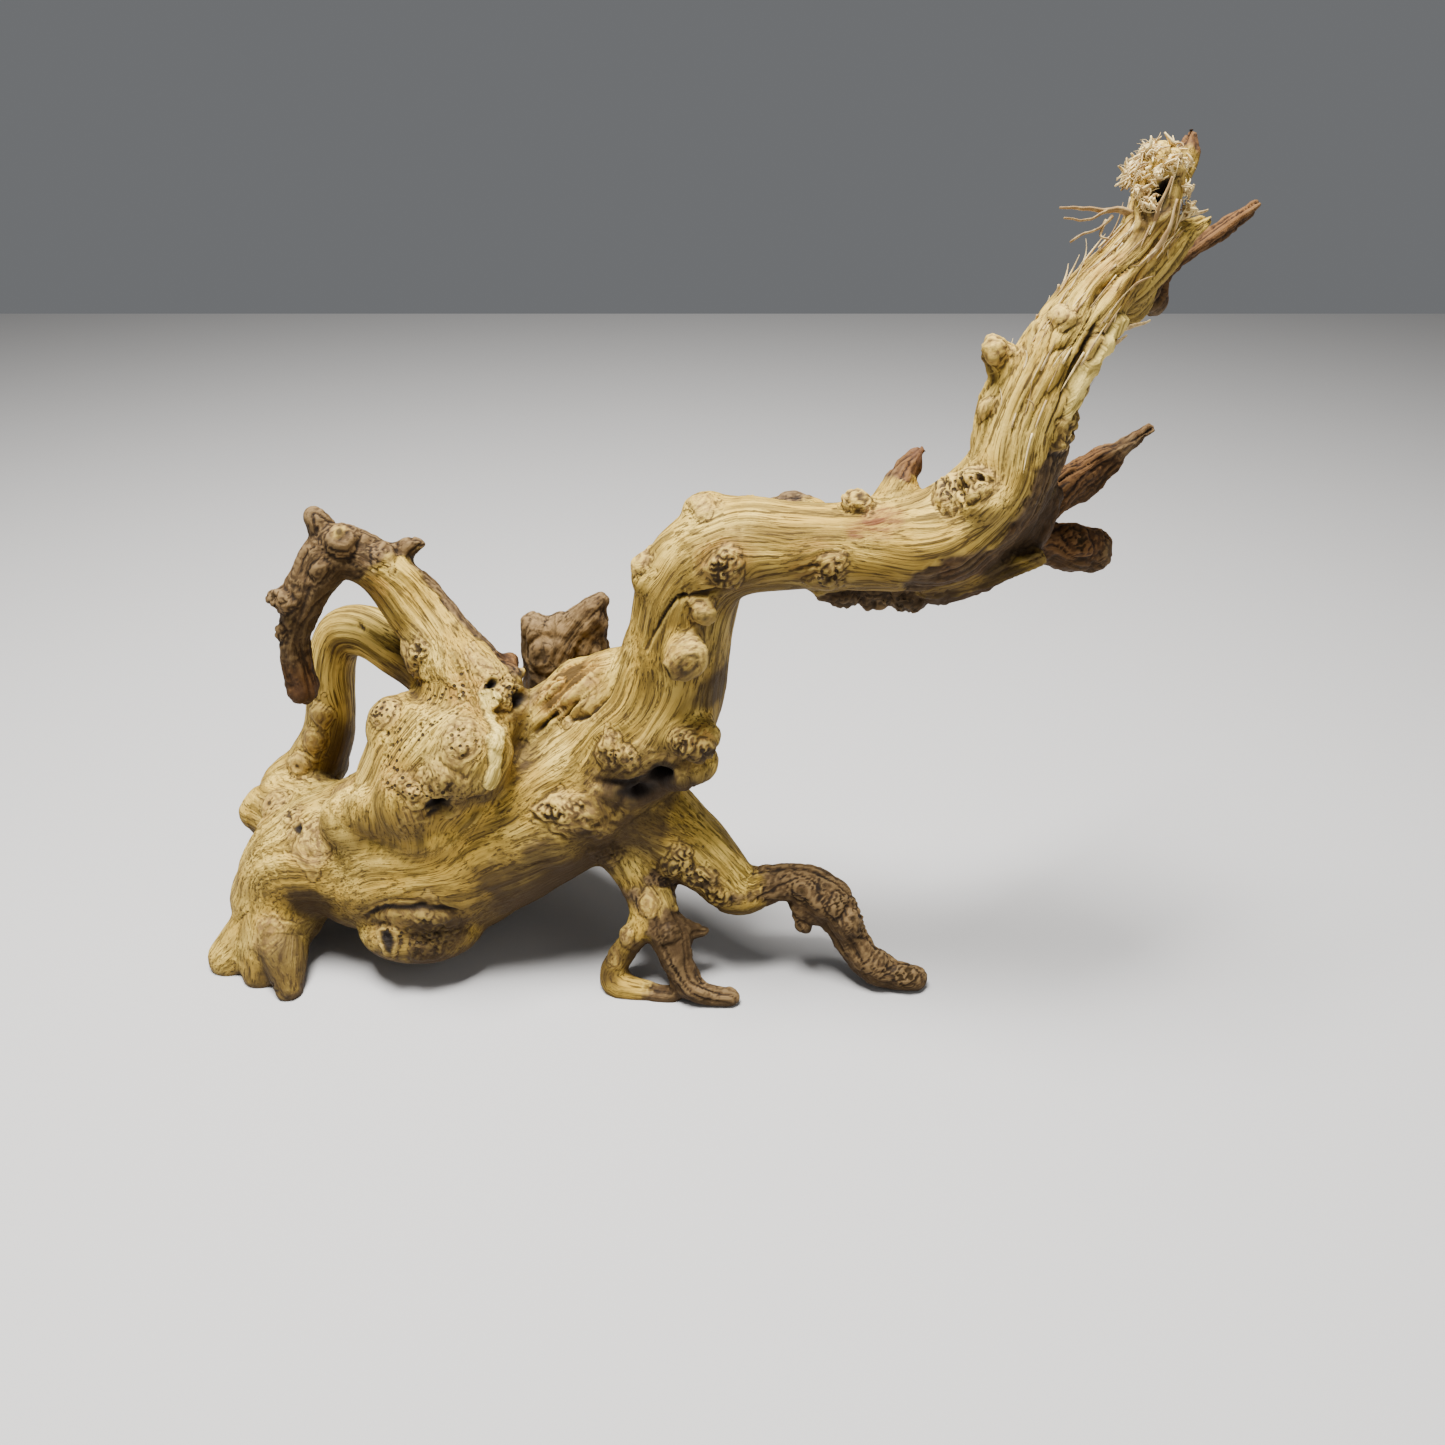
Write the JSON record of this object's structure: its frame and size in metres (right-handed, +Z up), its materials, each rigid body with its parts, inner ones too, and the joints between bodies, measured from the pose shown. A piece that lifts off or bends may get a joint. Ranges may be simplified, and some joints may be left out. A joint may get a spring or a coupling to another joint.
{
  "type": "branching driftwood root",
  "caption": "Gnarled branching root piece with a low thick trunk, a long rising limb, an arched branch and short root feet, standing on its own",
  "frame": {"origin": "middle of the object's box in plan, at the floor it stands on", "axes": "+Z up, +X towards the long rising limb, +Y away from the side with the two front toes and the small front roots"},
  "size_m": [0.4074, 0.1206, 0.3279],
  "materials": {
    "straw_wood": "dry bare wood, straw yellow, fine grain, matt",
    "dark_bark": "dry rough brown bark, matt",
    "weathered_root": "dry weathered root wood, grey brown, matt"
  },
  "bodies": {
    "root": {"trunk": "straw_wood", "rising_limb": "straw_wood", "upper_arm": "straw_wood", "elbow_stub": "dark_bark", "arch_branch": "weathered_root", "rear_root": "straw_wood", "back_stump": "dark_bark", "right_root": "weathered_root", "front_roots": "weathered_root", "limb_horn": "dark_bark", "tip_twig": "dark_bark"}
  },
  "joints": []
}
